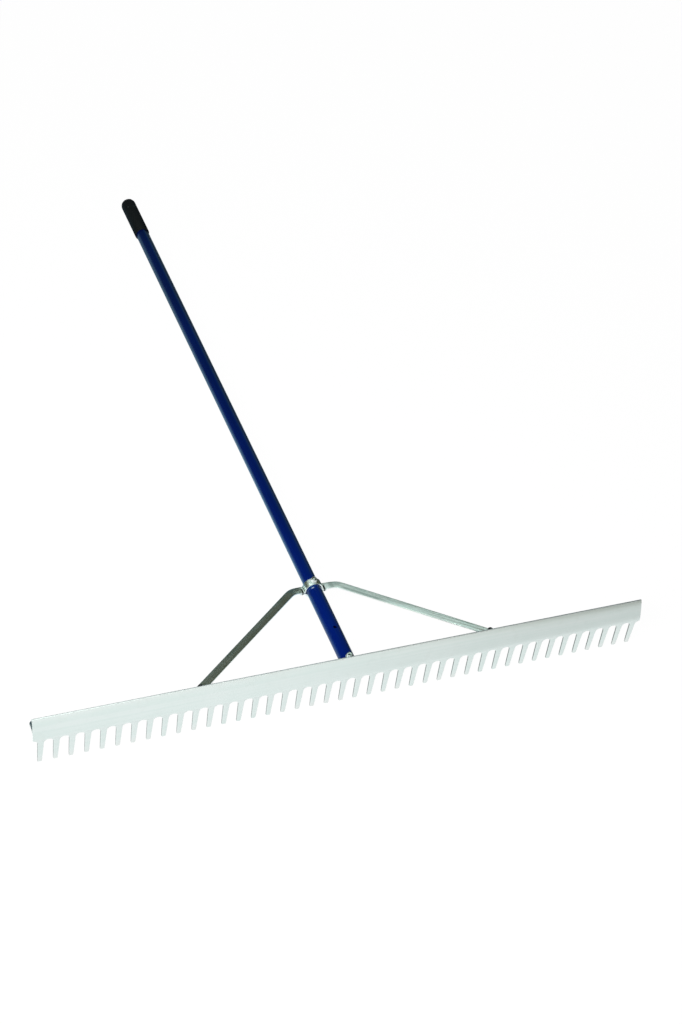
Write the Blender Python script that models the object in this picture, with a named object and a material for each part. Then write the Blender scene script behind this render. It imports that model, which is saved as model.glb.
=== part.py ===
# Wide landscape rake: an aluminium toothed head on a long blue tube handle, held square by a steel brace.
#
# The tool is modelled in its own frame and then laid on the ground, as it rests when nobody holds it:
# on its tooth tips and on the end of its grip.
#   x runs along the head, from its left end to its right end, seen from the front
#   y runs along the handle, from the front face of the teeth towards the grip
#   z runs upwards, against the teeth, and is 0 on the handle's axis
# All sizes are in metres.

import bpy
import bmesh
from math import asin, atan, cos, hypot, pi, radians, sin, sqrt, tan
from mathutils import Matrix, Vector

# Room between touching pieces
SEAT_GAP = 0.0003            # between two faces that bear on each other
BOLT_HOLE_CLEARANCE = 0.0003   # all round a bolt in its hole

# Head: an aluminium extrusion with teeth punched out of its lower edge
TOOTH_COUNT = 42
TOOTH_PITCH = 0.02903
TOOTH_TIP_WIDTH = 0.0082
TOOTH_ROOT_WIDTH = 0.0122
TOOTH_LENGTH = 0.0596
TOOTH_REACH = 0.0776           # from the handle's axis down to the tooth tips
TOOTH_TIP_RADIUS = 0.0022
TIP_STEPS = 3
GAP_TOP_RADIUS = 0.0080
GAP_TOP_STEPS = 5
PLATE_THICKNESS = 0.0032
BEND_DROP = 0.0120             # from the handle's axis down to the plate's main bend
BEND_RADIUS = 0.030
BEND_STEPS = 4
FACE_LEAN = radians(17.2)      # how far the face above the bend leans back
KNEE_RISE = 0.0106             # from the handle's axis up to the plate's upper, slighter bend
KNEE_RADIUS = 0.060
KNEE_STEPS = 2
BROW_LEAN = radians(21.7)      # how far the band above the upper bend leans back
PLATE_RISE = 0.0270            # from the handle's axis up to the plate's top edge
LIP_THICKNESS = 0.0040         # the top edge is a little thicker than the plate
LIP_DEPTH = 0.0040
LIP_TAPER = 0.0100
EDGE_ROUND = 0.0008
EDGE_STEPS = 2
FLANGE_THICKNESS = 0.0048
FLANGE_REACH = 0.0330          # from the front face of the teeth back to the flange's rear edge
FLANGE_FILLET = 0.0030
FILLET_STEPS = 3
FLANGE_CORNER_TRIM = 0.0050    # the flange's rear corners are cut off at 45 degrees

# Handle: a round tube, a little wider below the collar, with a sleeve grip on its far end
TUBE_DIAMETER = 0.0300         # from the head to the collar
TUBE_UPPER_DIAMETER = 0.0280   # from the collar to the grip
TUBE_STEP_LENGTH = 0.0040      # the cone between the two, which the collar covers
TUBE_WALL = 0.0017
TUBE_START = 0.0135
TUBE_SEGMENTS = 56
SLOT_END_GAP = 0.0010          # between the end of the tube's slot and the flange
SPARE_HOLE_DISTANCE = 0.1020
SPARE_HOLE_DIAMETER = 0.0070
HANDLE_REACH = 1.4520          # from the front face of the teeth to the end of the grip
GRIP_LENGTH = 0.1195
GRIP_DIAMETER = 0.0325
GRIP_FIT = 0.0003
GRIP_END_WALL = 0.0060
GRIP_DOME_LENGTH = 0.0130
GRIP_MOUTH_ROUND = 0.0012
GRIP_SEGMENTS = 48
GRIP_DOME_STEPS = 8

# Brace: a flat bar, arched over the tube, with an arm and a foot on each side
BAR_WIDTH = 0.0158
BAR_THICKNESS = 0.0032
BAR_CHAMFER = 0.0005
COLLAR_DISTANCE = 0.2195       # from the front face of the teeth to the middle of the collar
COLLAR_FIT = 0.0003
COLLAR_PARTING = -0.0040       # height of the face where the bar and the clamp meet
CORNER_RADIUS = 0.0020         # inside radius of the bends between the arch and the arms
ARCH_STEPS = 14
CORNER_STEPS = 4
ELBOW_RADIUS = 0.0540
ELBOW_STEPS = 8
FOOT_SPREAD = 0.2915           # from the middle of the head to each foot bolt
FOOT_OVERHANG = 0.0100         # from the foot bolt to the end of the bar
FOOT_ROUND_SWEEP = radians(80)   # the foot's round end stops here and is closed with a narrow flat
FOOT_ROUND_STEPS = 5
CLAMP_EAR_REACH = 0.0262       # from the handle's axis to the end of each ear of the clamp

# Fasteners
BOLT_LINE = 0.0260             # from the front face of the teeth to the row of bolts in the flange
BOLT_DIAMETER = 0.0060
BOLT_HEAD_WIDTH = 0.0090
BOLT_HEAD_HEIGHT = 0.0042
BOLT_COLLAR_DIAMETER = 0.0132
BOLT_COLLAR_HEIGHT = 0.0012
BOLT_POINT = 0.0008
BOLT_PROJECTION = 0.0010       # how far a bolt stands out of its nut
HEX_CHAMFER = 0.0006
NUT_WIDTH = 0.0110
NUT_HEIGHT = 0.0046
NUT_NECK_WALL = 0.0006
RING_HEIGHT = 0.0020
WASHER_DIAMETER = 0.0140
WASHER_THICKNESS = 0.0014
FASTENER_SEGMENTS = 18

# Worked out from the sizes above
HEAD_LENGTH = TOOTH_COUNT * TOOTH_PITCH
TUBE_RADIUS = TUBE_DIAMETER / 2
TUBE_UPPER_RADIUS = TUBE_UPPER_DIAMETER / 2
GRIP_RADIUS = GRIP_DIAMETER / 2
GAP_TOP = TOOTH_LENGTH - TOOTH_REACH
BOLT_HOLE_DIAMETER = BOLT_DIAMETER + 2 * BOLT_HOLE_CLEARANCE
FLANGE_TOP = FLANGE_THICKNESS / 2
SADDLE_RADIUS = TUBE_RADIUS + COLLAR_FIT + BAR_THICKNESS / 2
CUT_MARGIN = 0.010             # how far a cutter runs past what it cuts
MERGE_DISTANCE = 0.000001      # corners closer than this become one

# The largest angle between faces that still look like one round surface
EXTRUSION_SMOOTH_ANGLE = radians(25)
BAR_SMOOTH_ANGLE = radians(30)
TURNED_SMOOTH_ANGLE = radians(35)
GRIP_SMOOTH_ANGLE = radians(50)


def clear_scene():
    for thing in list(bpy.data.objects):
        bpy.data.objects.remove(thing, do_unlink=True)


def make_material(name, colour, roughness, metallic):
    material = bpy.data.materials.new(name)
    material.use_nodes = True
    shader = material.node_tree.nodes["Principled BSDF"]
    shader.inputs["Base Color"].default_value = (*colour, 1.0)
    shader.inputs["Roughness"].default_value = roughness
    shader.inputs["Metallic"].default_value = metallic
    return material


def make_object(name, shape, parent, material=None):
    """Turn a bmesh into an object of its own, carried by the tool's empty."""
    bmesh.ops.remove_doubles(shape, verts=shape.verts, dist=MERGE_DISTANCE)
    bmesh.ops.recalc_face_normals(shape, faces=shape.faces)
    mesh = bpy.data.meshes.new(name)
    shape.to_mesh(mesh)
    shape.free()
    piece = bpy.data.objects.new(name, mesh)
    bpy.context.collection.objects.link(piece)
    piece.parent = parent
    if material:
        mesh.materials.append(material)
    return piece


def shade_round(piece, smooth_angle):
    piece.data.shade_smooth()
    piece.data.set_sharp_from_angle(angle=smooth_angle)


def cut_away(piece, cutter):
    """Cut one shape out of another, with the cutter left in the file as a wire guide."""
    cutter.hide_render = True
    cutter.display_type = "WIRE"
    cut = piece.modifiers.new("cut_" + cutter.name, "BOOLEAN")
    cut.operation = "DIFFERENCE"
    cut.solver = "EXACT"
    cut.object = cutter


def skin_rings(shape, rings, closed=False):
    """Join rings of as many points each, one to the next, and the last to the first if closed."""
    following = rings[1:] + rings[:1] if closed else rings[1:]
    for ring, other in zip(rings, following):
        for index, point in enumerate(ring):
            before = index - 1
            shape.faces.new((ring[before], point, other[index], other[before]))
    if not closed:
        shape.faces.new(rings[0])
        shape.faces.new(rings[-1])


def extrude_outline(shape, outline, direction):
    """Add a prism: a flat outline, given as corner points, drawn out along a direction."""
    start = shape.faces.new([shape.verts.new(point) for point in outline])
    drawn = bmesh.ops.extrude_face_region(shape, geom=[start])["geom"]
    tops = [item for item in drawn if isinstance(item, bmesh.types.BMVert)]
    bmesh.ops.translate(shape, vec=direction, verts=tops)


def corner_arc(before, corner, after, radius, steps):
    """Points of the arc that rounds one corner of a path in a plane."""
    into = (before - corner).normalized()
    out = (after - corner).normalized()
    half = into.angle(out) / 2
    reach = radius / tan(half)
    centre = corner + (into + out).normalized() * (radius / sin(half))
    first = corner + into * reach - centre
    last = corner + out * reach - centre
    turn = first.angle_signed(last)
    points = []
    for step in range(steps + 1):
        angle = -turn * step / steps
        x = first.x * cos(angle) - first.y * sin(angle)
        y = first.x * sin(angle) + first.y * cos(angle)
        points.append(centre + Vector((x, y)))
    return points


def rounded_outline(corners):
    """Round the corners of a closed outline; each corner is (point, radius, steps)."""
    points = []
    for index, (corner, radius, steps) in enumerate(corners):
        before = corners[index - 1][0]
        after = corners[(index + 1) % len(corners)][0]
        if radius > 0:
            points += corner_arc(before, corner, after, radius, steps)
        else:
            points.append(corner)
    return points


# Head


def lean_point(start, lean, rise):
    """The point that a line leaning back from start reaches after rising so far."""
    return start + Vector((rise * tan(lean), rise))


def inset_corner(corner, lean_below, lean_above, depth):
    """The corner on a face that lies a depth behind the front face."""
    middle = (lean_below + lean_above) / 2
    reach = depth / cos((lean_above - lean_below) / 2)
    return corner + Vector((cos(middle), -sin(middle))) * reach


def head_outline():
    """The extrusion's cross section, as (y, z) points, round from the tooth tip's front edge."""
    tip = Vector((0, -TOOTH_REACH))
    bend = Vector((0, -BEND_DROP))
    knee = lean_point(bend, FACE_LEAN, BEND_DROP + KNEE_RISE)
    top = lean_point(knee, BROW_LEAN, PLATE_RISE - KNEE_RISE)
    up = Vector((sin(BROW_LEAN), cos(BROW_LEAN)))
    back = Vector((cos(BROW_LEAN), -sin(BROW_LEAN)))
    top_back = top + back * LIP_THICKNESS
    lip_foot = top + back * LIP_THICKNESS - up * LIP_DEPTH
    taper_foot = top + back * PLATE_THICKNESS - up * (LIP_DEPTH + LIP_TAPER)
    knee_back = inset_corner(knee, FACE_LEAN, BROW_LEAN, PLATE_THICKNESS)
    bend_back = inset_corner(bend, 0, FACE_LEAN, PLATE_THICKNESS)
    tip_back = Vector((PLATE_THICKNESS, -TOOTH_REACH))

    def back_face_at(height):
        return lean_point(bend_back, FACE_LEAN, height - bend_back.y)

    corners = [
        (tip, 0, 0),
        (bend, BEND_RADIUS, BEND_STEPS),
        (knee, KNEE_RADIUS, KNEE_STEPS),
        (top, EDGE_ROUND, EDGE_STEPS),
        (top_back, EDGE_ROUND, EDGE_STEPS),
        (lip_foot, 0, 0),
        (taper_foot, 0, 0),
        (knee_back, KNEE_RADIUS - PLATE_THICKNESS, KNEE_STEPS),
        (back_face_at(FLANGE_TOP), FLANGE_FILLET, FILLET_STEPS),
        (Vector((FLANGE_REACH, FLANGE_TOP)), EDGE_ROUND, EDGE_STEPS),
        (Vector((FLANGE_REACH, -FLANGE_TOP)), EDGE_ROUND, EDGE_STEPS),
        (back_face_at(-FLANGE_TOP), FLANGE_FILLET, FILLET_STEPS),
        (bend_back, BEND_RADIUS - PLATE_THICKNESS, BEND_STEPS),
        (tip_back, 0, 0),
    ]
    return rounded_outline(corners)


def gap_outline(centre):
    """One punched gap between two teeth, as (x, z) points, from its lower right corner round."""
    tip = -TOOTH_REACH
    tip_corner = Vector(((TOOTH_PITCH - TOOTH_TIP_WIDTH) / 2, tip))
    root_corner = Vector(((TOOTH_PITCH - TOOTH_ROOT_WIDTH) / 2, GAP_TOP))
    under_tooth = Vector((TOOTH_PITCH / 2, tip))
    tip_arc = corner_arc(under_tooth, tip_corner, root_corner, TOOTH_TIP_RADIUS, TIP_STEPS)
    top_arc = corner_arc(tip_corner, root_corner, Vector((0, GAP_TOP)), GAP_TOP_RADIUS, GAP_TOP_STEPS)
    mouth = Vector((tip_arc[0].x, tip - CUT_MARGIN))
    half = [mouth] + tip_arc + top_arc
    right = [(centre + x, z) for x, z in half]
    left = [(centre - x, z) for x, z in half]
    return right + left[::-1]


def round_cutter(shape, x, y, diameter, bottom, top):
    """Add an upright drill of a given diameter to a cutter."""
    radius = diameter / 2
    place = Matrix.Translation((x, y, (bottom + top) / 2))
    bmesh.ops.create_cone(
        shape,
        cap_ends=True,
        segments=FASTENER_SEGMENTS,
        radius1=radius,
        radius2=radius,
        depth=top - bottom,
        matrix=place,
    )


def build_head(tool, material):
    shape = bmesh.new()
    outline = [Vector((-HEAD_LENGTH / 2, y, z)) for y, z in head_outline()]
    extrude_outline(shape, outline, Vector((HEAD_LENGTH, 0, 0)))
    head = make_object("rake_head", shape, tool, material)

    punch = bmesh.new()
    front = -CUT_MARGIN
    depth = PLATE_THICKNESS + 2 * CUT_MARGIN
    for number in range(TOOTH_COUNT + 1):
        centre = (number - TOOTH_COUNT / 2) * TOOTH_PITCH
        outline = [Vector((x, front, z)) for x, z in gap_outline(centre)]
        extrude_outline(punch, outline, Vector((0, depth, 0)))
    cut_away(head, make_object("gap_punches", punch, tool))

    trim = bmesh.new()
    leg = FLANGE_CORNER_TRIM + 2 * CUT_MARGIN
    end = HEAD_LENGTH / 2 + CUT_MARGIN
    rear = FLANGE_REACH + CUT_MARGIN
    for side in (-1, 1):
        corners = [(end - leg, rear), (end, rear), (end, rear - leg)]
        outline = [Vector((side * x, y, -FLANGE_THICKNESS)) for x, y in corners]
        extrude_outline(trim, outline, Vector((0, 0, 2 * FLANGE_THICKNESS)))
    cut_away(head, make_object("flange_corner_cuts", trim, tool))

    drill = bmesh.new()
    for x in (-FOOT_SPREAD, 0, FOOT_SPREAD):
        round_cutter(drill, x, BOLT_LINE, BOLT_HOLE_DIAMETER, -FLANGE_THICKNESS, FLANGE_THICKNESS)
    cut_away(head, make_object("flange_drills", drill, tool))
    shade_round(head, EXTRUSION_SMOOTH_ANGLE)


# Handle


def lathe(shape, profile, segments, closed):
    """Add a turned shape: (distance along y, radius) points, spun round the y axis.

    The profile is a closed loop, or else it starts and ends on the axis.
    """
    points = [shape.verts.new((0, along, radius)) for along, radius in profile]
    following = points[1:] + points[:1] if closed else points[1:]
    edges = [shape.edges.new(pair) for pair in zip(points, following)]
    bmesh.ops.spin(
        shape,
        geom=points + edges,
        cent=(0, 0, 0),
        axis=(0, 1, 0),
        angle=2 * pi,
        steps=segments,
        use_merge=True,
    )


def build_tube(tool, material):
    end = HANDLE_REACH - GRIP_END_WALL - SEAT_GAP
    step_start = COLLAR_DISTANCE - TUBE_STEP_LENGTH / 2
    step_end = COLLAR_DISTANCE + TUBE_STEP_LENGTH / 2
    outside = [
        (TUBE_START, TUBE_RADIUS),
        (step_start, TUBE_RADIUS),
        (step_end, TUBE_UPPER_RADIUS),
        (end, TUBE_UPPER_RADIUS),
    ]
    inside = [(along, radius - TUBE_WALL) for along, radius in outside]
    shape = bmesh.new()
    lathe(shape, outside + inside[::-1], TUBE_SEGMENTS, closed=True)
    tube = make_object("handle_tube", shape, tool, material)

    slot = bmesh.new()
    low = TUBE_START - CUT_MARGIN
    high = FLANGE_REACH + SLOT_END_GAP
    half = FLANGE_TOP + SEAT_GAP
    corners = [(-TUBE_DIAMETER, low, -half), (-TUBE_DIAMETER, high, -half)]
    corners += [(-TUBE_DIAMETER, high, half), (-TUBE_DIAMETER, low, half)]
    extrude_outline(slot, [Vector(corner) for corner in corners], Vector((2 * TUBE_DIAMETER, 0, 0)))
    cut_away(tube, make_object("tube_slot", slot, tool))

    drill = bmesh.new()
    for distance, diameter in (
        (BOLT_LINE, BOLT_HOLE_DIAMETER),
        (SPARE_HOLE_DISTANCE, SPARE_HOLE_DIAMETER),
        (COLLAR_DISTANCE, BOLT_HOLE_DIAMETER),
    ):
        round_cutter(drill, 0, distance, diameter, -TUBE_DIAMETER, TUBE_DIAMETER)
    cut_away(tube, make_object("tube_drills", drill, tool))
    shade_round(tube, TURNED_SMOOTH_ANGLE)


def build_grip(tool, material):
    mouth = HANDLE_REACH - GRIP_LENGTH
    dome = HANDLE_REACH - GRIP_DOME_LENGTH
    floor = HANDLE_REACH - GRIP_END_WALL
    bore = TUBE_UPPER_RADIUS + GRIP_FIT
    profile = [(floor, 0), (floor, bore), (mouth, bore)]
    profile += [(mouth, GRIP_RADIUS - GRIP_MOUTH_ROUND), (mouth + GRIP_MOUTH_ROUND, GRIP_RADIUS)]
    for step in range(GRIP_DOME_STEPS + 1):
        angle = pi / 2 * step / GRIP_DOME_STEPS
        profile.append((dome + GRIP_DOME_LENGTH * sin(angle), GRIP_RADIUS * cos(angle)))
    shape = bmesh.new()
    lathe(shape, profile, GRIP_SEGMENTS, closed=False)
    grip = make_object("handle_grip", shape, tool, material)
    shade_round(grip, GRIP_SMOOTH_ANGLE)


# Brace


def saddle_path(side):
    """The middle line of the bar over the tube, as (x, height, lean) from the crown to the arm.

    side is 1 for the bar above the tube and -1 for the clamp below it. The lean is the angle through
    which the bar's upper face has turned from level.
    """
    level = COLLAR_PARTING * side + BAR_THICKNESS / 2 + SEAT_GAP / 2
    bend = CORNER_RADIUS + BAR_THICKNESS / 2
    centre_height = level + bend
    centre_x = sqrt((SADDLE_RADIUS + bend) ** 2 - centre_height ** 2)
    turn = pi / 2 - atan(centre_height / centre_x)
    path = []
    for step in range(ARCH_STEPS + 1):
        angle = turn * step / ARCH_STEPS
        path.append((SADDLE_RADIUS * sin(angle), SADDLE_RADIUS * cos(angle), angle))
    for step in range(1, CORNER_STEPS + 1):
        angle = turn * (1 - step / CORNER_STEPS)
        path.append((centre_x - bend * sin(angle), centre_height - bend * cos(angle), angle))
    return [(x, height * side, lean * side) for x, height, lean in path]


def elbow_angle():
    """The angle in plan through which the elbow turns, so that the arm's line meets the foot bolt."""
    start = saddle_path(1)[-1][0]
    aside = FOOT_SPREAD - start
    ahead = COLLAR_DISTANCE - BOLT_LINE - ELBOW_RADIUS
    return atan(ahead / aside) + asin(ELBOW_RADIUS / hypot(ahead, aside))


def bar_section(centre, across, normal, half_width):
    """The eight corners of the bar's chamfered section at one place along it."""
    half_thick = BAR_THICKNESS / 2
    corners = []
    for u, v in ((-1, -1), (1, -1), (1, 1), (-1, 1)):
        long_side = (u * (half_width - BAR_CHAMFER), v * half_thick)
        short_side = (u * half_width, v * (half_thick - BAR_CHAMFER))
        corners += [short_side, long_side] if u * v > 0 else [long_side, short_side]
    return [centre + across * a + normal * b for a, b in corners]


def half_bar(side, with_arm):
    """Places along half of a bar, from its crown: (centre, across, normal, half of the width)."""
    half_width = BAR_WIDTH / 2
    along_handle = Vector((0, 1, 0))
    upright = Vector((0, 0, 1))
    places = []
    path = saddle_path(side)
    for x, height, lean in path:
        centre = Vector((x, COLLAR_DISTANCE, height))
        normal = Vector((sin(lean), 0, cos(lean)))
        places.append((centre, along_handle, normal, half_width))
    corner_x, level, _ = path[-1]
    if not with_arm:
        centre = Vector((CLAMP_EAR_REACH, COLLAR_DISTANCE, level))
        places.append((centre, along_handle, upright, half_width))
        return places

    # The elbow bends forward in plan while the bar rises to lie on the flange
    angle = elbow_angle()
    foot_level = FLANGE_TOP + SEAT_GAP + BAR_THICKNESS / 2
    for step in range(1, ELBOW_STEPS + 1):
        share = step / ELBOW_STEPS
        turn = angle * share
        x = corner_x + ELBOW_RADIUS * sin(turn)
        y = COLLAR_DISTANCE - ELBOW_RADIUS * (1 - cos(turn))
        height = level + (foot_level - level) * share * share * (3 - 2 * share)
        across = Vector((sin(turn), cos(turn), 0))
        places.append((Vector((x, y, height)), across, upright, half_width))

    # The arm runs straight to the foot, whose end is round
    across = Vector((sin(angle), cos(angle), 0))
    along = Vector((cos(angle), -sin(angle), 0))
    bolt = Vector((FOOT_SPREAD, BOLT_LINE, foot_level))
    round_centre = bolt + along * (FOOT_OVERHANG - half_width)
    for step in range(FOOT_ROUND_STEPS + 1):
        sweep = FOOT_ROUND_SWEEP * step / FOOT_ROUND_STEPS
        centre = round_centre + along * half_width * sin(sweep)
        places.append((centre, across, upright, half_width * cos(sweep)))
    return places


def build_bar(name, tool, material, side, with_arms):
    """A bar whose two halves mirror each other about the handle."""
    right = half_bar(side, with_arms)
    mirror = Matrix.Scale(-1, 3, Vector((1, 0, 0)))
    left = []
    for centre, across, normal, half_width in right[:0:-1]:
        left.append((mirror @ centre, mirror @ across, mirror @ normal, half_width))
    shape = bmesh.new()
    rings = []
    for place in left + right:
        rings.append([shape.verts.new(point) for point in bar_section(*place)])
    skin_rings(shape, rings)
    bar = make_object(name, shape, tool, material)

    drill = bmesh.new()
    crown = SADDLE_RADIUS * side
    round_cutter(drill, 0, COLLAR_DISTANCE, BOLT_HOLE_DIAMETER, crown - CUT_MARGIN, crown + CUT_MARGIN)
    if with_arms:
        for x in (-FOOT_SPREAD, FOOT_SPREAD):
            round_cutter(drill, x, BOLT_LINE, BOLT_HOLE_DIAMETER, -CUT_MARGIN, FLANGE_TOP + CUT_MARGIN)
    cut_away(bar, make_object(name + "_drills", drill, tool))
    shade_round(bar, BAR_SMOOTH_ANGLE)


# Fasteners


def ring_of(shape, height, width, hexagonal):
    """One loop of a fastener, round or six-sided; width is its diameter or its size across the flats."""
    points = []
    for step in range(FASTENER_SEGMENTS):
        angle = 2 * pi * step / FASTENER_SEGMENTS
        radius = width / 2
        if hexagonal:
            from_flat = (angle % (pi / 3)) - pi / 6
            radius = width / 2 / cos(from_flat)
        points.append(shape.verts.new((radius * cos(angle), radius * sin(angle), height)))
    return points


def stack_rings(shape, levels, closed=False):
    """Add a solid of rings one above another; each level is (height, width, hexagonal)."""
    skin_rings(shape, [ring_of(shape, *level) for level in levels], closed)


def seat_piece(piece, spot, seat, upside_down):
    """Stand a fastener on a face at a height, or hang it upside down under that face."""
    piece.location = (*spot, seat - SEAT_GAP if upside_down else seat + SEAT_GAP)
    piece.rotation_euler = (pi if upside_down else 0, 0, 0)
    shade_round(piece, TURNED_SMOOTH_ANGLE)


def build_bolt(name, tool, material, spot, seat, head_up, length):
    """A flanged hexagon bolt, with its head's bearing face at height 0."""
    top = BOLT_COLLAR_HEIGHT + BOLT_HEAD_HEIGHT
    shape = bmesh.new()
    stack_rings(shape, [
        (-length, BOLT_DIAMETER - 2 * BOLT_POINT, False),
        (-length + BOLT_POINT, BOLT_DIAMETER, False),
        (0, BOLT_DIAMETER, False),
        (0, BOLT_COLLAR_DIAMETER, False),
        (BOLT_COLLAR_HEIGHT, BOLT_COLLAR_DIAMETER - BOLT_COLLAR_HEIGHT, False),
        (BOLT_COLLAR_HEIGHT, BOLT_HEAD_WIDTH, True),
        (top - HEX_CHAMFER, BOLT_HEAD_WIDTH, True),
        (top, BOLT_HEAD_WIDTH - HEX_CHAMFER, False),
    ])
    seat_piece(make_object(name, shape, tool, material), spot, seat, not head_up)


def build_nut(name, tool, material, spot, seat, upside_down):
    """A lock nut: a hexagon with a round neck above it, whose pocket holds a nylon ring."""
    neck = NUT_WIDTH - HEX_CHAMFER
    pocket = neck - 2 * NUT_NECK_WALL
    rim = NUT_HEIGHT + RING_HEIGHT + SEAT_GAP
    shape = bmesh.new()
    stack_rings(shape, [
        (0, BOLT_HOLE_DIAMETER, False),
        (0, neck, False),
        (HEX_CHAMFER, NUT_WIDTH, True),
        (NUT_HEIGHT - HEX_CHAMFER, NUT_WIDTH, True),
        (NUT_HEIGHT, neck, False),
        (rim, neck, False),
        (rim, pocket, False),
        (NUT_HEIGHT, pocket, False),
        (NUT_HEIGHT, BOLT_HOLE_DIAMETER, False),
    ], closed=True)
    seat_piece(make_object(name, shape, tool, material), spot, seat, upside_down)


def build_flat_ring(name, tool, material, spot, seat, upside_down, bottom, diameter, height):
    """A washer, or the nylon ring in a lock nut, whose underside lies at a height above the seat."""
    shape = bmesh.new()
    stack_rings(shape, [
        (bottom, BOLT_HOLE_DIAMETER, False),
        (bottom, diameter, False),
        (bottom + height, diameter, False),
        (bottom + height, BOLT_HOLE_DIAMETER, False),
    ], closed=True)
    seat_piece(make_object(name, shape, tool, material), spot, seat, upside_down)


def build_bolted_joint(tool, materials, prefix, suffix, spot, head_seat, nut_seat, washer):
    """A bolt, its lock nut with the nylon ring and, if asked for, a washer under the bolt's head.

    head_seat and nut_seat are the heights of the faces that the head and the nut bear on.
    """
    steel, nylon = materials
    head_up = head_seat > nut_seat
    if washer:
        name = prefix + "_washer" + suffix
        build_flat_ring(name, tool, steel, spot, head_seat, not head_up, 0, WASHER_DIAMETER, WASHER_THICKNESS)
        stack = WASHER_THICKNESS + SEAT_GAP
        head_seat += stack if head_up else -stack
    nut_depth = NUT_HEIGHT + RING_HEIGHT + SEAT_GAP
    length = abs(head_seat - nut_seat) + 2 * SEAT_GAP + nut_depth + BOLT_PROJECTION
    build_bolt(prefix + "_bolt" + suffix, tool, steel, spot, head_seat, head_up, length)
    build_nut(prefix + "_nut" + suffix, tool, steel, spot, nut_seat, head_up)
    ring = NUT_WIDTH - HEX_CHAMFER - 2 * NUT_NECK_WALL - 2 * SEAT_GAP
    floor = NUT_HEIGHT + SEAT_GAP
    name = prefix + "_nut_ring" + suffix
    build_flat_ring(name, tool, nylon, spot, nut_seat, head_up, floor, ring, RING_HEIGHT)


# Laying the tool on the ground


def rest_angle():
    """How far the handle slopes down to the grip when tooth tips and grip both touch the ground."""
    far = HANDLE_REACH - GRIP_DOME_LENGTH
    return atan((TOOTH_REACH - GRIP_RADIUS) / (far - PLATE_THICKNESS))


def lay_on_ground(tool):
    """Turn the tool to its resting slope and put the middle of its underside at the origin."""
    tool.rotation_euler = (-rest_angle(), 0, 0)
    bpy.context.view_layer.update()
    corners = []
    for piece in tool.children:
        if not piece.hide_render:
            corners += [piece.matrix_world @ vertex.co for vertex in piece.data.vertices]
    middle = (min(c.y for c in corners) + max(c.y for c in corners)) / 2
    tool.location = (0, -middle, -min(c.z for c in corners))
    bpy.context.view_layer.update()


clear_scene()
aluminium = make_material("mill_aluminium", (0.72, 0.78, 0.76), 0.38, 1.0)
blue_coat = make_material("blue_powder_coat", (0.004, 0.016, 0.115), 0.32, 0.0)
grip_vinyl = make_material("black_vinyl", (0.010, 0.012, 0.012), 0.55, 0.0)
zinc = make_material("zinc_plate", (0.45, 0.50, 0.46), 0.35, 1.0)
nylon = make_material("black_nylon", (0.015, 0.017, 0.016), 0.5, 0.0)

tool = bpy.data.objects.new("tool", None)
bpy.context.collection.objects.link(tool)
build_head(tool, aluminium)
build_tube(tool, blue_coat)
build_grip(tool, grip_vinyl)
build_bar("brace_strap", tool, zinc, 1, with_arms=True)
build_bar("clamp_saddle", tool, zinc, -1, with_arms=False)

crown = SADDLE_RADIUS + BAR_THICKNESS / 2
foot_top = FLANGE_TOP + SEAT_GAP + BAR_THICKNESS
fixings = (zinc, nylon)
build_bolted_joint(tool, fixings, "collar", "", (0, COLLAR_DISTANCE), -crown, crown, False)
build_bolted_joint(tool, fixings, "handle", "", (0, BOLT_LINE), TUBE_RADIUS, -TUBE_RADIUS, True)
for suffix, x in (("_left", -FOOT_SPREAD), ("_right", FOOT_SPREAD)):
    build_bolted_joint(tool, fixings, "foot", suffix, (x, BOLT_LINE), -FLANGE_TOP, foot_top, True)
lay_on_ground(tool)
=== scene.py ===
from math import cos, pi, radians, sin

import bmesh
import bpy
from mathutils import Euler, Matrix, Vector


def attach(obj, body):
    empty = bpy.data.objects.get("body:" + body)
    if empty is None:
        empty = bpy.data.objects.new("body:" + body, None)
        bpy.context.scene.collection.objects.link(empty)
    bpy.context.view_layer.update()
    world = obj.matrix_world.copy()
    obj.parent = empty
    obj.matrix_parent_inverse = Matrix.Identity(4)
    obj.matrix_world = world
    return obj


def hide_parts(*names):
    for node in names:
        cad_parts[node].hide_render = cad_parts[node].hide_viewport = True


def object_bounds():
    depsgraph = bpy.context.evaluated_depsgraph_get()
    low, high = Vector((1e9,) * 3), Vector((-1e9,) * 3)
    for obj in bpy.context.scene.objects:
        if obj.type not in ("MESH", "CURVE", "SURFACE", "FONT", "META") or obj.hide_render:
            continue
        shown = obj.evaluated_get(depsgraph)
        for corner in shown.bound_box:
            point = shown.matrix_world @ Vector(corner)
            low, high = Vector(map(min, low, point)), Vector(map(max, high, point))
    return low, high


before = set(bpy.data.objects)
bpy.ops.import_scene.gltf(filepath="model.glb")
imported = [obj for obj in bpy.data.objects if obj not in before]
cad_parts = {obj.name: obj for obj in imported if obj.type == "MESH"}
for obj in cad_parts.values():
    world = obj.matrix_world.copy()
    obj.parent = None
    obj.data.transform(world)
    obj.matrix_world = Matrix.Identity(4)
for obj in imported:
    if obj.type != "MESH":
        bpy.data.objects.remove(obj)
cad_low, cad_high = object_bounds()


# The toothed head. One aluminium extrusion, sawn to length and left as it comes from the mill, with
# its lower edge punched into 42 tapering teeth. It is bolted to the tube and the brace by the flange
# on its back.
TOOL_ORIGIN = (0.0, -0.7236818, 0.0776659)
TOOL_SLOPE = 0.0427028
HEAD_EDGE = 0.00045
HEAD_EDGE_ANGLE = radians(32)
HEAD_ENDS = (0.606, 0.609)
TOP_EDGE_HEIGHT = (0.020, 0.024)
PALE_TOP_EDGE = (0.25, 0.60)
TOOTH_TIPS = (0.058, 0.074)


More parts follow.
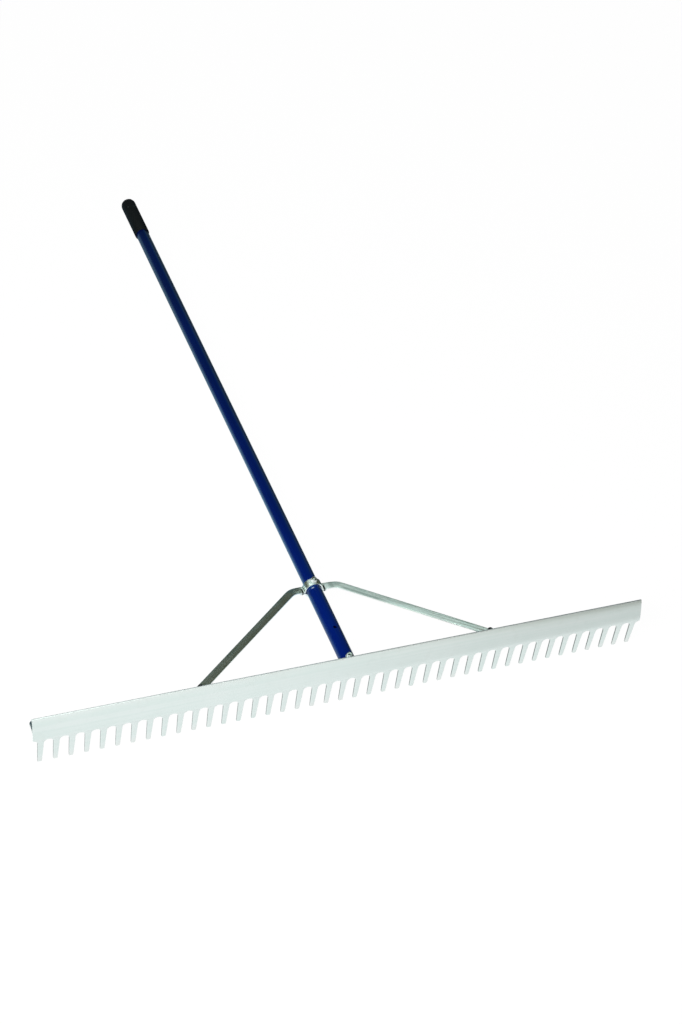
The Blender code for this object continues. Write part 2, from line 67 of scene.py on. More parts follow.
class Wire:
    """An output of a node tree. Sums and products of wires add the Math nodes that they need."""

    def __init__(self, tree, socket=None):
        self.tree = tree
        self.socket = socket

    def feed(self, node, sockets):
        for name, value in sockets.items():
            if isinstance(value, Wire):
                self.tree.links.new(value.socket, node.inputs[name])
            else:
                node.inputs[name].default_value = value

    def add(self, kind, settings=None, sockets=None, output=0):
        node = self.tree.nodes.new("ShaderNode" + kind)
        for name, value in (settings or {}).items():
            setattr(node, name, value)
        self.feed(node, sockets or {})
        return Wire(self.tree, node.outputs[output])

    def maths(self, operation, first, second=0.0):
        return self.add("Math", {"operation": operation}, {0: first, 1: second})

    def __add__(self, other):
        return self.maths("ADD", self, other)

    def __sub__(self, other):
        return self.maths("SUBTRACT", self, other)

    def __rsub__(self, other):
        return self.maths("SUBTRACT", other, self)

    def __mul__(self, other):
        return self.maths("MULTIPLY", self, other)

    def __neg__(self):
        return 0.0 - self

    def __abs__(self):
        return self.maths("ABSOLUTE", self)

    __radd__ = __add__
    __rmul__ = __mul__

    def axes(self):
        """The X, Y and Z of a vector."""
        node = self.tree.nodes.new("ShaderNodeSeparateXYZ")
        self.tree.links.new(self.socket, node.inputs[0])
        return [Wire(self.tree, output) for output in node.outputs]

    def rise(self, low, high):
        """0 up to the value low, 1 from the value high on, and smooth between."""
        return self.add("MapRange", {"interpolation_type": "SMOOTHSTEP"},
                        {"Value": self, "From Min": low, "From Max": high})

    def place(self, x, y, z):
        """A vector of three wires or numbers."""
        return self.add("CombineXYZ", sockets={"X": x, "Y": y, "Z": z})

    def away(self, point):
        """How far the place that this wire holds is from a point."""
        return self.add("VectorMath", {"operation": "DISTANCE"}, {0: self, 1: point}, "Value")

    def noise(self, detail=2.0, scale=1.0, roughness=0.5):
        """Cloudy noise from 0 to 1 at the place that this wire holds."""
        return self.add("TexNoise", sockets={"Vector": self, "Scale": scale, "Detail": detail,
                                             "Roughness": roughness})

    def tint(self, first, second):
        """The first colour where this wire is 0 and the second where it is 1."""
        return self.add("Mix", {"data_type": "RGBA"}, {"Factor": self, 6: first, 7: second}, 2)

    def bumps(self, depth, under=None):
        """The surface normal over a relief that is depth metres high where this wire is 1."""
        sockets = {"Height": self, "Distance": depth}
        if under:
            sockets["Normal"] = under
        return self.add("Bump", sockets=sockets)

    def leans(self, across):
        """The surface normal, leant towards the vector across by as much as this wire says."""
        normal = self.add("NewGeometry", output="Normal")
        push = self.add("VectorMath", {"operation": "SCALE"}, {0: across, "Scale": self})
        leant = self.add("VectorMath", {"operation": "ADD"}, {0: normal, 1: push})
        return self.add("VectorMath", {"operation": "NORMALIZE"}, {0: leant})


def tone(red, green, blue):
    """A colour as the shaders take it, from the 0 to 255 values that a screen shows."""
    return tuple(pow((value / 255 + 0.055) / 1.055, 2.4) for value in (red, green, blue)) + (1.0,)


def new_finish(name, settled):
    """A material, its shader with the values that are the same all over, and a wire to start from."""
    finish = bpy.data.materials.new(name)
    finish.use_nodes = True
    shader = finish.node_tree.nodes["Principled BSDF"]
    start = Wire(finish.node_tree)
    start.feed(shader, settled)
    return finish, shader, start


def tool_place(start):
    """The place on the tool: X along the head, Y along the handle, Z up from the handle's middle."""
    return start.add("Mapping", {"vector_type": "TEXTURE"},
                     {"Vector": start.add("TexCoord", output="Object"), "Location": TOOL_ORIGIN,
                      "Rotation": (-TOOL_SLOPE, 0.0, 0.0)})


def add_piece(name, shape, finish, smooth_angle=radians(24)):
    """Make an object of a bmesh, smooth where its faces meet at less than the angle."""
    mesh = bpy.data.meshes.new(name)
    shape.to_mesh(mesh)
    shape.free()
    mesh.materials.clear()
    mesh.materials.append(finish)
    mesh.shade_smooth()
    mesh.set_sharp_from_angle(angle=smooth_angle)
    piece = bpy.data.objects.new(name, mesh)
    bpy.context.scene.collection.objects.link(piece)
    return piece


def eased_copy(node, edge, edge_angle):
    """The shape of a CAD node with its sharp outer edges rounded, as a bmesh."""
    shape = bmesh.new()
    shape.from_mesh(bpy.data.objects[node].data)
    bmesh.ops.remove_doubles(shape, verts=shape.verts, dist=1e-6)
    bmesh.ops.dissolve_limit(shape, angle_limit=radians(0.2), verts=shape.verts, edges=shape.edges)
    sharp = [rim for rim in shape.edges
             if rim.is_manifold and rim.calc_face_angle_signed() > edge_angle]
    bmesh.ops.bevel(shape, geom=sharp, offset=edge, offset_type="OFFSET", affect="EDGES", segments=2,
                    profile=0.5, material=-1, clamp_overlap=True)
    return shape


MILL_GREY = tone(225, 238, 235)
MILL_PALE = tone(232, 242, 240)
DIE_LINE_GREY = tone(208, 222, 218)
HANDLED_GREY = tone(206, 214, 208)
SHEARED_AND_SHADED_GREY = tone(160, 170, 168)
WORN_WHITE = tone(240, 242, 240)

aluminium, shader, start = new_finish("mill_aluminium", {})
spot = tool_place(start)
x, y, z = spot.axes()
across = z + 0.6 * y
die_lines = start.place(x * 3.0, across * 1500.0, 0.0).noise(3.0)
die_bands = start.place(x * 1.1, across * 140.0, 4.0).noise(2.0)
stains = spot.noise(4.0, 9.0, 0.6)
handled = spot.noise(3.0, 55.0)
normal = start.add("NewGeometry", output="Normal")
facing_x, _, facing_z = normal.axes()
sheared = abs(facing_x).rise(0.45, 0.85)
sawn_end = sheared * abs(x).rise(*HEAD_ENDS)
top_edge = facing_z.rise(0.5, 0.8) * z.rise(*TOP_EDGE_HEIGHT)
filmed = (0.55 + 0.30 * (-x).rise(*PALE_TOP_EDGE)) * top_edge
worn_tips = (-z).rise(*TOOTH_TIPS)
base = (die_bands * 0.55 + stains * 0.45).rise(0.36, 0.64).tint(MILL_GREY, MILL_PALE)
base = (die_lines.rise(0.58, 0.80) * 0.16).tint(base, DIE_LINE_GREY)
base = (handled.rise(0.56, 0.74) * 0.10).tint(base, HANDLED_GREY)
# The faces turned along the head, the sides of the teeth most, are darker: partly the duller sheared
# metal, partly painted shade.
base = (sheared * 0.75 - sawn_end * 0.60).tint(base, SHEARED_AND_SHADED_GREY)
base = (worn_tips * stains.rise(0.4, 0.6) * 0.5).tint(base, WORN_WHITE)
up_the_plate = start.add("VectorMath", {"operation": "CROSS_PRODUCT"},
                         {0: normal, 1: (-1.0, 0.0, 0.0)})
start.feed(shader, {
    "Base Color": base,
    "Metallic": 1 - filmed - 0.70 * sawn_end,
    "Roughness": 0.32 + 0.06 * die_bands + 0.10 * stains + 0.16 * sheared + 0.15 * top_edge,
    "Normal": handled.bumps(0.00005, ((die_lines - 0.5) * 0.25).leans(up_the_plate)),
})
extrusion = eased_copy("rake_head", HEAD_EDGE, HEAD_EDGE_ANGLE)
# The bends have many points on one straight line, so the slivers along them are taken out.
bmesh.ops.triangulate(extrusion, faces=extrusion.faces, quad_method="BEAUTY", ngon_method="BEAUTY")
bmesh.ops.dissolve_degenerate(extrusion, dist=1e-6, edges=extrusion.edges)
bmesh.ops.triangulate(extrusion, faces=extrusion.faces, quad_method="BEAUTY", ngon_method="BEAUTY")
head = add_piece("head", extrusion, aluminium)
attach(head, "root")
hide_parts("rake_head")


# The handle. A round aluminium tube with a deep blue powder coat, slotted at its lower end to slip
# over the head's flange, with an empty hole above the bolt that holds it.
TUBE_EDGE = 0.0002
TUBE_EDGE_ANGLE = radians(60)
COLLAR_PLACE = 0.2195
BOLT_PLACE = 0.0260
PALE_MARK_PLACE = (-0.0030, 0.2074, 0.0068)
COAT_DEEP = tone(0, 23, 106)
COAT_BRIGHT = tone(0, 28, 118)
HAZE_BLUE = tone(14, 60, 124)
RUBBED_BLUE = tone(70, 98, 150)
PALE_MARK_WHITE = tone(200, 214, 240)

blue_coat, shader, start = new_finish("blue_powder_coat", {
    "IOR": 1.5,
    "Specular Tint": (0.15, 1.0, 0.95, 1.0),
})
spot = tool_place(start)
x, y, z = spot.axes()
orange_peel = spot.noise(1.0, 620.0)
thickness = start.place(x * 22.0, y * 5.0, z * 22.0).noise(3.0)
haze = start.place(x * 90.0, y * 14.0, z * 90.0).noise(4.0)
rubs = start.place(x * 260.0, y * 900.0, z * 260.0).noise(2.0)
near_collar = (1 - abs(y - COLLAR_PLACE).rise(0.010, 0.024)) * rubs.rise(0.60, 0.72)
near_bolt = (1 - abs(y - BOLT_PLACE).rise(0.006, 0.016)) * rubs.rise(0.62, 0.74)
# Halving X and Z makes the small pale mark just below the collar twice as wide round the tube as it is
# long.
pale_mark = 1 - start.place(x * 0.5, y, z * 0.5).away(PALE_MARK_PLACE).rise(0.0006, 0.0018)
paint = thickness.rise(0.35, 0.68).tint(COAT_DEEP, COAT_BRIGHT)
paint = (haze.rise(0.55, 0.75) * 0.10).tint(paint, HAZE_BLUE)
paint = (near_collar * 0.5 + near_bolt * 0.5).tint(paint, RUBBED_BLUE)
paint = (pale_mark * rubs.rise(0.35, 0.50) * 0.8).tint(paint, PALE_MARK_WHITE)
start.feed(shader, {
    "Base Color": paint,
    "Roughness": 0.13 + 0.10 * haze + 0.06 * thickness,
    "Normal": orange_peel.bumps(0.00004),
})
tube = add_piece("tube", eased_copy("handle_tube", TUBE_EDGE, TUBE_EDGE_ANGLE), blue_coat)
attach(tube, "root")
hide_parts("handle_tube")


# The grip. A black vinyl sleeve with a closed, domed end, moulded in two halves and pushed over the
# end of the tube.
GRIP_MOUTH = 1.3325
GRIP_MIDDLE = 1.3925
GRIP_END = 1.4520
GRIP_RADIUS = 0.01625
GRIP_BORE = 0.0143
GRIP_DOME = 0.0130
GRIP_LIP = 0.0012
GRIP_END_WALL = 0.006
GRIP_STEPS = 72
GRIP_SMOOTH_ANGLE = radians(40)
DOME_STEPS = 10
PALE_SPOTS = ((-0.0085, 1.4180, 0.0140), (0.0045, 1.4160, 0.0156))
PALE_SPOT_RIM = (0.0015, 0.0035)
SEAM_WIDTH = (0.0002, 0.0007)
VINYL_BLACK = tone(11, 16, 17)
VINYL_WORN = tone(19, 25, 26)
DUST_GREY = tone(44, 54, 54)
PALE_SPOT_GREY = tone(62, 72, 68)


def turned(outline, steps, turn=None):
    """Spin an outline of (radius, height) points round the Z axis into a closed shape."""
    shape = bmesh.new()
    points = [shape.verts.new((radius, 0.0, height)) for radius, height in outline]
    edges = [shape.edges.new(pair) for pair in zip(points, points[1:])]
    bmesh.ops.spin(shape, geom=points + edges, cent=(0, 0, 0), axis=(0, 0, 1), angle=2 * pi,
                   steps=steps, use_merge=True, use_duplicate=False)
    bmesh.ops.remove_doubles(shape, verts=shape.verts, dist=1e-6)
    bmesh.ops.recalc_face_normals(shape, faces=shape.faces)
    if turn:
        bmesh.ops.transform(shape, matrix=turn, verts=shape.verts)
    return shape


ON_TOOL = Matrix.Translation(TOOL_ORIGIN) @ Euler((-TOOL_SLOPE, 0.0, 0.0)).to_matrix().to_4x4()
ALONG_HANDLE = ON_TOOL @ Euler((-pi / 2, 0.0, 0.0)).to_matrix().to_4x4()

dome_turns = [pi / 2 * step / DOME_STEPS for step in range(DOME_STEPS + 1)]
dome = [(GRIP_RADIUS * sin(turn), GRIP_END - GRIP_DOME + GRIP_DOME * cos(turn)) for turn in dome_turns]
sleeve = dome + [
    (GRIP_RADIUS, GRIP_MIDDLE),
    (GRIP_RADIUS, GRIP_MOUTH + GRIP_LIP),
    (GRIP_RADIUS - 0.25 * GRIP_LIP, GRIP_MOUTH + 0.3 * GRIP_LIP),
    (GRIP_RADIUS - GRIP_LIP, GRIP_MOUTH),
    (GRIP_BORE, GRIP_MOUTH),
    (GRIP_BORE, GRIP_END - GRIP_END_WALL),
    (0.0, GRIP_END - GRIP_END_WALL),
]
vinyl, shader, start = new_finish("black_vinyl", {"IOR": 1.48, "Specular IOR Level": 0.35})
spot = tool_place(start)
_, _, z = spot.axes()
pebbles = spot.noise(2.0, 900.0)
cloud = spot.noise(3.0, 60.0)
dust = spot.noise(3.0, 260.0)
seam = 1 - abs(z).rise(*SEAM_WIDTH)
# Two paler spots, painted on the grip's top near its end.
left_spot, right_spot = [1 - spot.away(centre).rise(*PALE_SPOT_RIM) for centre in PALE_SPOTS]
black = cloud.rise(0.35, 0.65).tint(VINYL_BLACK, VINYL_WORN)
black = (dust.rise(0.55, 0.75) * 0.15).tint(black, DUST_GREY)
black = ((left_spot + right_spot) * 0.55).tint(black, PALE_SPOT_GREY)
start.feed(shader, {
    "Base Color": black,
    "Roughness": 0.58 + 0.20 * cloud,
    "Normal": pebbles.bumps(0.00006, seam.bumps(0.0003)),
})
grip = add_piece("grip", turned(sleeve, GRIP_STEPS, ALONG_HANDLE), vinyl, GRIP_SMOOTH_ANGLE)
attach(grip, "root")
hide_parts("handle_grip")


# The brace. One flat steel bar, bent cold over the tube, out along two arms and down to a rounded
# foot at each end, and zinc plated after bending. The drawn bar keeps fine lines along its length.
ARM_SLOPE = radians(36.8)
ELBOW_START = 0.0208
ELBOW_END = 0.0532
ELBOW_CENTRE = 0.1655
BRACE_EDGE = 0.0005
BRACE_EDGE_ANGLE = radians(30)
BAR_GRAIN = 1.3
COLLAR_CORNER = 0.0224
COLLAR_CORNER_WIDTH = (0.0012, 0.0020)
COLLAR_CORNER_BACK = (0.2205, 0.2225)
BOLT_DISH_RIM = (0.0020, 0.0026)
BOLT_HEAD_HEIGHT = (0.016, 0.017)
FOOT_REACH = (0.280, 0.284)
FOOT_NUT_HEIGHT = (0.0095, 0.0105)
ARM_DARK_REFLECTION_START = (0.045, 0.060)
ARM_DARK_REFLECTION_END = (0.105, 0.140)
ARM_DARK_REFLECTION_WIDTH = (0.0490, 0.0550)
ELBOW_DARK_REFLECTION = 0.0360
ELBOW_DARK_REFLECTION_WIDTH = (0.0015, 0.0060)
ZINC_GREY = tone(206, 233, 226)
ZINC_PALE = tone(216, 238, 232)
STREAK_GREY = tone(198, 214, 200)
PATCH_GREY = tone(204, 214, 190)
PAINTED_REFLECTION_GREY = tone(150, 172, 166)
UPRIGHT_HIGHLIGHT_WHITE = tone(250, 253, 251)
PAINTED_SHADE_DARK = tone(30, 38, 36)


def zinc_finish(name, grain, dull):
    """Bright zinc over drawn steel, with painted shade in its corners, in the dish of a bolt and on the
    foot nuts. The lines along the bar lean the surface by the grain, and dull is the share of rough, not
    metallic, surface on the upright faces, which are all tinted near white, a painted highlight."""
    finish, shader, start = new_finish(name, {})
    spot = tool_place(start)
    x, y, z = spot.axes()
    aside = abs(x) - ELBOW_START
    ahead = y - ELBOW_CENTRE
    in_elbow = start.maths("GREATER_THAN", aside, 0.0)
    on_arm = start.maths("GREATER_THAN", aside * cos(ARM_SLOPE) - ahead * sin(ARM_SLOPE), 0.0)
    round_elbow = start.maths("SQRT", aside * aside + ahead * ahead)
    across = in_elbow * round_elbow + (1 - in_elbow) * ahead
    across = on_arm * (aside * sin(ARM_SLOPE) + ahead * cos(ARM_SLOPE)) + (1 - on_arm) * across
    along = abs(x) * cos(ARM_SLOPE) - y * sin(ARM_SLOPE)
    bent = abs(x).rise(ELBOW_START, ELBOW_END)
    side = start.maths("SIGN", x)
    over_bar = start.place(side * bent * sin(ARM_SLOPE), 1 - bent * (1 - cos(ARM_SLOPE)), 0.0)
    lines = start.place(across * 4200.0, along * 14.0, z * 20.0).noise(2.0, 1.0, 0.6)
    streaks = start.place(across * 420.0, along * 9.0, z * 20.0).noise(3.0)
    bloom = spot.noise(4.0, 46.0, 0.62)
    patches = spot.noise(2.0, 120.0)
    _, _, facing_z = start.add("NewGeometry", output="Normal").axes()
    upright = 1 - abs(facing_z).rise(0.30, 0.60)
    arm_dark_reflection = x.rise(*ARM_DARK_REFLECTION_START) * (1 - x.rise(*ARM_DARK_REFLECTION_END)) * (1 - across.rise(*ARM_DARK_REFLECTION_WIDTH))
    elbow_dark_reflection = 1 - abs(x - ELBOW_DARK_REFLECTION).rise(*ELBOW_DARK_REFLECTION_WIDTH)
    collar_corner = 1 - abs(abs(x) - COLLAR_CORNER).rise(*COLLAR_CORNER_WIDTH)
    collar_corner = collar_corner * (1 - y.rise(*COLLAR_CORNER_BACK))
    in_dish = 1 - start.place(x, y, 0.0).away((0.0, BOLT_PLACE, 0.0)).rise(*BOLT_DISH_RIM)
    in_dish = in_dish * z.rise(*BOLT_HEAD_HEIGHT)
    by_foot = abs(x).rise(*FOOT_REACH) * z.rise(*FOOT_NUT_HEIGHT)
    plate = bloom.rise(0.36, 0.64).tint(ZINC_GREY, ZINC_PALE)
    plate = (streaks.rise(0.50, 0.72) * 0.35).tint(plate, STREAK_GREY)
    plate = (patches.rise(0.60, 0.76) * 0.30).tint(plate, PATCH_GREY)
    # A painted dark reflection along the front of the right arm, from the elbow outwards.
    plate = ((arm_dark_reflection + 0.7 * elbow_dark_reflection) * 0.85).tint(plate, PAINTED_REFLECTION_GREY)
    # The upright faces are tinted near white, a painted highlight.
    plate = (upright * 0.85).tint(plate, UPRIGHT_HIGHLIGHT_WHITE)
    # Painted shade and dark reflections in the collar's inner corners, in the handle bolt's dish and on
    # the foot nuts.
    plate = (collar_corner * 0.95 + in_dish * 0.80 + by_foot * 0.90).tint(plate, PAINTED_SHADE_DARK)
    start.feed(shader, {
        "Base Color": plate,
        "Metallic": 1 - dull * upright,
        "Roughness": 0.26 + 0.10 * bloom + 0.06 * streaks + 0.3 * dull * upright,
        "Normal": bloom.bumps(0.00004, ((lines - 0.72) * grain).leans(over_bar)),
    })
    return finish


zinc_bar = zinc_finish("zinc_plated_bar", BAR_GRAIN, 0.0)
brace = add_piece("brace", eased_copy("brace_strap", BRACE_EDGE, BRACE_EDGE_ANGLE), zinc_bar)
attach(brace, "root")
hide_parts("brace_strap")


# The clamp saddle. A short piece of the same zinc plated bar, bent to fit under the tube. It closes
# the collar from below, and the collar's bolt holds it.
saddle = add_piece("saddle", eased_copy("clamp_saddle", BRACE_EDGE, BRACE_EDGE_ANGLE), zinc_bar)
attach(saddle, "root")
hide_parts("clamp_saddle")


# The four bolts. Zinc plated M6 flange bolts, cold headed with a dished hexagon and rolled threads:
# one through the collar, one through the tube and the head, one through each foot. Each has its
# place across and along the tool, and the heights of its head and of its tip.
FOOT_BOLT_PLACE = 0.2915
BOLT_PLACES = {
    "collar_bolt": (0.0, COLLAR_PLACE, -0.0242, 0.0267),
    "handle_bolt": (0.0, BOLT_PLACE, 0.0224, -0.0232),
    "foot_bolt_left": (-FOOT_BOLT_PLACE, BOLT_PLACE, -0.0098, 0.0141),
    "foot_bolt_right": (FOOT_BOLT_PLACE, BOLT_PLACE, -0.0098, 0.0141),
}
BOLT_RADIUS = 0.0030
BOLT_FLATS = 0.0090
BOLT_STEPS = 36
HEX_HEIGHT = 0.0042
HEX_CHAMFER = 0.0006
HEX_CHAMFER_DROP = 0.0005
HEX_EDGE = 0.0002
HEX_EDGE_ANGLE = radians(25)
FLANGE_RADIUS = 0.0066
FLANGE_HEIGHT = 0.0012
FLANGE_SINK = 0.0002
DISH_LIP = 0.0006
DISH_WALL = 0.0007
DISH_FLOOR = 0.0012
DISH_DEPTH = 0.0024
THREAD_DEPTH = 0.00042
THREAD_PITCH = 0.0010
THREAD_LENGTH = 0.0110
THREAD_CREST = 0.0001
THREAD_SINK = 0.0001
THREAD_TOP = 0.0002
THREAD_RUN_OUT = 0.0014
THREAD_STEPS = 18
TIP_CHAMFER = 0.0008
FASTENER_GRAIN = 0.9
FASTENER_DULL = 0.9


def add_shape(target, extra, turn=None):
    """Put a second bmesh into the first."""
    if turn:
        bmesh.ops.transform(extra, matrix=turn, verts=extra.verts)
    spare = bpy.data.meshes.new("spare")
    extra.to_mesh(spare)
    extra.free()
    target.from_mesh(spare)
    bpy.data.meshes.remove(spare)


def dished_hexagon():
    """A bolt's hexagon standing on Z = 0, with eased corners and a dish pressed into its top."""
    shape = bmesh.new()
    bmesh.ops.create_circle(shape, cap_ends=True, radius=BOLT_FLATS / 2 / cos(pi / 6), segments=6)
    top = bmesh.ops.extrude_face_region(shape, geom=list(shape.faces))["geom"]
    raised = [item for item in top if isinstance(item, bmesh.types.BMVert)]
    bmesh.ops.translate(shape, verts=raised, vec=(0.0, 0.0, HEX_HEIGHT))
    crown = [item for item in top if isinstance(item, bmesh.types.BMFace)]
    bmesh.ops.inset_region(shape, faces=crown, thickness=HEX_CHAMFER, depth=0.0)
    rim = [vert for vert in shape.verts
           if vert.co.z > HEX_HEIGHT / 2 and vert.co.xy.length > BOLT_FLATS / 2]
    bmesh.ops.translate(shape, verts=rim, vec=(0.0, 0.0, -HEX_CHAMFER_DROP))
    bmesh.ops.inset_region(shape, faces=crown, thickness=DISH_LIP, depth=0.0)
    bmesh.ops.inset_region(shape, faces=crown, thickness=DISH_WALL, depth=-DISH_DEPTH * 0.7)
    bmesh.ops.inset_region(shape, faces=crown, thickness=DISH_FLOOR, depth=-DISH_DEPTH * 0.3)
    bmesh.ops.recalc_face_normals(shape, faces=shape.faces)
    sharp = [edge for edge in shape.edges if edge.calc_face_angle(0.0) > HEX_EDGE_ANGLE]
    bmesh.ops.bevel(shape, geom=sharp, offset=HEX_EDGE, offset_type="OFFSET", affect="EDGES",
                    segments=2, profile=0.5, material=-1, clamp_overlap=True)
    return shape


def rolled_thread(length):
    """A screw thread on the Z axis, from Z = 0 down, sunk a little into the core that carries it."""
    shape = bmesh.new()
    root = BOLT_RADIUS - THREAD_DEPTH - THREAD_SINK
    half = THREAD_PITCH * 0.46
    outline = ((root, half), (BOLT_RADIUS, THREAD_CREST), (BOLT_RADIUS, -THREAD_CREST), (root, -half))
    corners = [shape.verts.new((radius, 0, height)) for radius, height in outline]
    edges = [shape.edges.new((corners[turn - 1], corners[turn])) for turn in range(4)]
    turns = length / THREAD_PITCH
    bmesh.ops.spin(shape, geom=corners + edges, cent=(0, 0, 0), axis=(0, 0, 1), angle=2 * pi * turns,
                   dvec=(0, 0, -length / (turns * THREAD_STEPS)), steps=int(turns * THREAD_STEPS),
                   use_merge=False)
    bmesh.ops.holes_fill(shape, edges=shape.edges, sides=4)
    bmesh.ops.recalc_face_normals(shape, faces=shape.faces)
    return shape


zinc_small = zinc_finish("zinc_plated_fasteners", FASTENER_GRAIN, FASTENER_DULL)
for name, (bolt_x, bolt_y, head_z, tip_z) in BOLT_PLACES.items():
    shank = abs(tip_z - head_z) - HEX_HEIGHT
    core = BOLT_RADIUS - THREAD_DEPTH
    thread_start = -shank + THREAD_LENGTH
    bolt = turned([
        (0.0, FLANGE_SINK),
        (FLANGE_RADIUS - 0.0016, FLANGE_SINK),
        (FLANGE_RADIUS - 0.0004, -0.0005),
        (FLANGE_RADIUS, -0.0008),
        (FLANGE_RADIUS, -0.0011),
        (FLANGE_RADIUS - 0.0002, -FLANGE_HEIGHT),
        (BOLT_RADIUS, -FLANGE_HEIGHT),
        (BOLT_RADIUS, thread_start + 0.0008),
        (core, thread_start),
        (core, -shank + TIP_CHAMFER),
        (core - 0.0007, -shank),
        (0.0, -shank),
    ], BOLT_STEPS)
    add_shape(bolt, dished_hexagon())
    add_shape(bolt, rolled_thread(THREAD_LENGTH - THREAD_RUN_OUT),
              Matrix.Translation((0.0, 0.0, thread_start - THREAD_TOP)))
    flip = Matrix.Rotation(pi if head_z < tip_z else 0.0, 4, "X")
    spot_on_tool = Vector((bolt_x, bolt_y, head_z - HEX_HEIGHT * (1 if head_z > tip_z else -1)))
    bmesh.ops.transform(bolt, matrix=ON_TOOL @ Matrix.Translation(spot_on_tool) @ flip, verts=bolt.verts)
    piece = add_piece(name + "_threaded", bolt, zinc_small)
    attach(piece, "root")
    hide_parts(name)


# The lock nuts and washers. Zinc plated steel, each nut with its corners eased and a nylon ring
# pressed into its crown.
NUT_EDGE = 0.00025
NUT_EDGE_ANGLE = radians(28)
WASHER_EDGE = 0.0002
WASHER_EDGE_ANGLE = radians(40)
NYLON_BLACK = tone(18, 20, 22)
NYLON_GREY = tone(40, 42, 44)

for name in ("collar_nut", "handle_nut", "foot_nut_left", "foot_nut_right"):
    piece = add_piece(name + "_eased", eased_copy(name, NUT_EDGE, NUT_EDGE_ANGLE), zinc_small)
    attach(piece, "root")
    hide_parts(name)
for name in ("handle_washer", "foot_washer_left", "foot_washer_right"):
    piece = add_piece(name + "_eased", eased_copy(name, WASHER_EDGE, WASHER_EDGE_ANGLE), zinc_small)
    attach(piece, "root")
    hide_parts(name)

nylon, shader, start = new_finish("black_nylon", {"IOR": 1.53})
mottle = tool_place(start).noise(3.0, 700.0)
start.feed(shader, {
    "Base Color": mottle.rise(0.3, 0.7).tint(NYLON_BLACK, NYLON_GREY),
    "Roughness": 0.45 + 0.2 * mottle,
    "Normal": mottle.bumps(0.00005),
})
for name in ("collar_nut_ring", "handle_nut_ring", "foot_nut_ring_left", "foot_nut_ring_right"):
    bpy.data.objects[name].material_slots[0].material = nylon


# The floor. Plain white paper that keeps a little of the object's shadow. Metal mirrors it darker
# behind the head and in a strip ahead of it, as a studio floor is away from the lamps.
FLOOR_SIZE = 40.0
FLOOR_GAP = 0.0002
SHADOW_SHARE = 0.05
WHITE_LIFT = 0.037
WHITE = (1.0, 1.0, 1.0, 1.0)
PAPER_GREY = (0.9, 0.9, 0.9, 1.0)
FAR_BLUE = (0.50, 0.82, 1.0, 1.0)
BEHIND_HEAD = (-0.62, -0.45)

floor_shape = bmesh.new()
bmesh.ops.create_grid(floor_shape, x_segments=1, y_segments=1, size=FLOOR_SIZE / 2)
bmesh.ops.translate(floor_shape, verts=floor_shape.verts, vec=(0.0, 0.0, cad_low.z - FLOOR_GAP))
paper, shader, start = new_finish("white_paper", {
    "Base Color": PAPER_GREY,
    "Roughness": 0.9,
    "Specular IOR Level": 0.0,
})
spot_x, spot_y, _ = start.add("TexCoord", output="Object").axes()
mirrored = start.add("LightPath", output="Is Glossy Ray")
viewed = start.add("LightPath", output="Is Camera Ray")
behind = spot_y.rise(*BEHIND_HEAD)
far_up = 0.66 + 0.26 * spot_y.rise(-0.40, 0.40)
kept = (1 - 0.90 * spot_x.rise(0.0, 0.12)) * (1 - far_up * (-spot_x).rise(0.02, 0.22))
dim_behind = behind * (1 - kept * (1 - 0.50 * spot_y.rise(-0.30, 0.60)))
ahead = -spot_y
dim_ahead = ahead.rise(0.77, 0.83) * (1 - 0.8 * ahead.rise(1.05, 1.35)) * 0.24 * spot_x.rise(-0.20, 0.70)
dim_by_teeth = (1 - ahead.rise(0.715, 0.722)) * ahead.rise(0.680, 0.695)
dim_by_teeth = dim_by_teeth * (0.12 + 0.50 * spot_x.rise(-0.40, 0.50))
dim = dim_behind + dim_ahead + dim_by_teeth
glow = start.add("Emission", sockets={
    "Color": (mirrored * behind).tint(WHITE, FAR_BLUE),
    "Strength": 1 + WHITE_LIFT * viewed - mirrored * dim,
})
mixed = start.add("MixShader", sockets={
    0: (viewed + mirrored) * (1 - SHADOW_SHARE),
    1: Wire(start.tree, shader.outputs[0]),
    2: glow,
})
start.tree.links.new(mixed.socket, start.tree.nodes["Material Output"].inputs["Surface"])
floor = add_piece("floor", floor_shape, paper)


# The room and the lamp. A room that is white to the camera and that metal mirrors bright in front
# and overhead and dark behind and to the right, and one broad soft box over the head's left half.
TOWARD_LAMP = (-0.54, -0.42, 0.73)
ROOM_GREY = 0.09
ROOM_LIGHT_SHARE = 0.12
WARM_DARK = (1.0, 0.90, 0.60, 1.0)
COOL_FAR = (0.55, 0.92, 1.15, 1.0)
LAMP_PLACE = (-0.95, -1.35, 1.25)
LAMP_AIM = (0.0, -0.60, 0.05)
LAMP_SIZE = 1.0
LAMP_POWER = 30.0

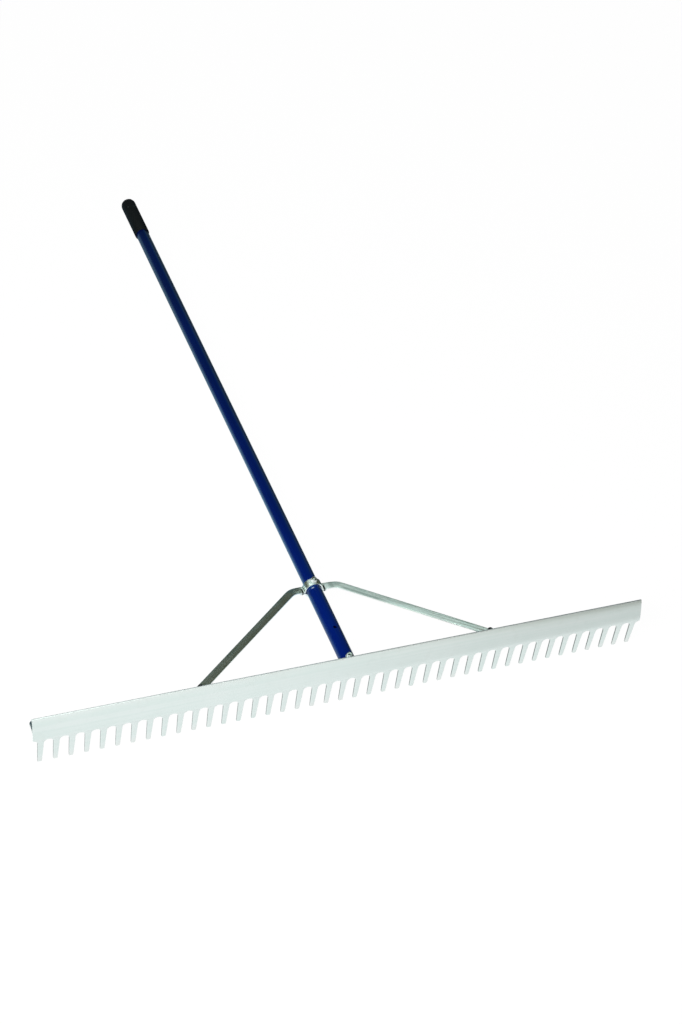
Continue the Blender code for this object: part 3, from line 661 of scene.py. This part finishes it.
room = bpy.data.worlds.new("studio")
bpy.context.scene.world = room
room.use_nodes = True
start = Wire(room.node_tree)
toward_x, toward_y, toward_z = start.add("TexCoord", output="Generated").axes()
front = (-toward_y).rise(0.10, 0.50) * (1 - toward_z.rise(0.40, 0.75)) * (1 - toward_x.rise(0.48, 0.75))
overhead = toward_z.rise(0.55, 0.80) * (1 - toward_y.rise(0.32, 0.48)) * (1 - toward_x.rise(0.20, 0.38))
by_lamp = start.add("VectorMath", {"operation": "DOT_PRODUCT"},
                    {0: start.place(toward_x, toward_y, toward_z), 1: TOWARD_LAMP}, "Value")
far_right = toward_y.rise(0.62, 0.72) * toward_x.rise(0.10, 0.35)
level = ROOM_GREY + 1.00 * front + 0.88 * overhead + 4.0 * by_lamp.rise(0.970, 0.985) + 0.16 * far_right
viewed = start.add("LightPath", output="Is Camera Ray")
mirrored = start.add("LightPath", output="Is Glossy Ray")
level = level * (ROOM_LIGHT_SHARE + (1 - ROOM_LIGHT_SHARE) * mirrored)
shade = (front + overhead).tint(WARM_DARK, WHITE)
shade = toward_y.rise(0.48, 0.58).tint(shade, COOL_FAR)
start.feed(room.node_tree.nodes["Background"], {
    "Color": viewed.tint(shade, WHITE),
    "Strength": level + viewed * (1 - level),
})

light = bpy.data.lights.new("soft_box", "AREA")
light.shape = "SQUARE"
light.size = LAMP_SIZE
light.energy = LAMP_POWER
lamp = bpy.data.objects.new("soft_box", light)
lamp.location = LAMP_PLACE
lamp.rotation_euler = (Vector(LAMP_AIM) - Vector(LAMP_PLACE)).to_track_quat("-Z", "Y").to_euler()
lamp.visible_glossy = False
bpy.context.scene.collection.objects.link(lamp)


# The camera. It stands in front of the head and to its left, above the tool, at the angle of the
# photograph, with a lens a little longer than a normal one. Its sensor is 36 mm high.
CAMERA_PLACE = (-1.35139, -2.92936, 3.18891)
CAMERA_TURN = (0.751807, -0.150648, -0.357075)
CAMERA_LENS = 76.359
CAMERA_SENSOR = 36.0
CAMERA_REACH = 100.0

view = bpy.data.cameras.new("camera")
view.sensor_fit = "VERTICAL"
view.sensor_height = CAMERA_SENSOR
view.lens = CAMERA_LENS
view.clip_end = CAMERA_REACH
camera = bpy.data.objects.new("camera", view)
camera.location = CAMERA_PLACE
camera.rotation_euler = CAMERA_TURN
bpy.context.scene.collection.objects.link(camera)
bpy.context.scene.camera = camera
bpy.context.scene.view_settings.view_transform = "Standard"
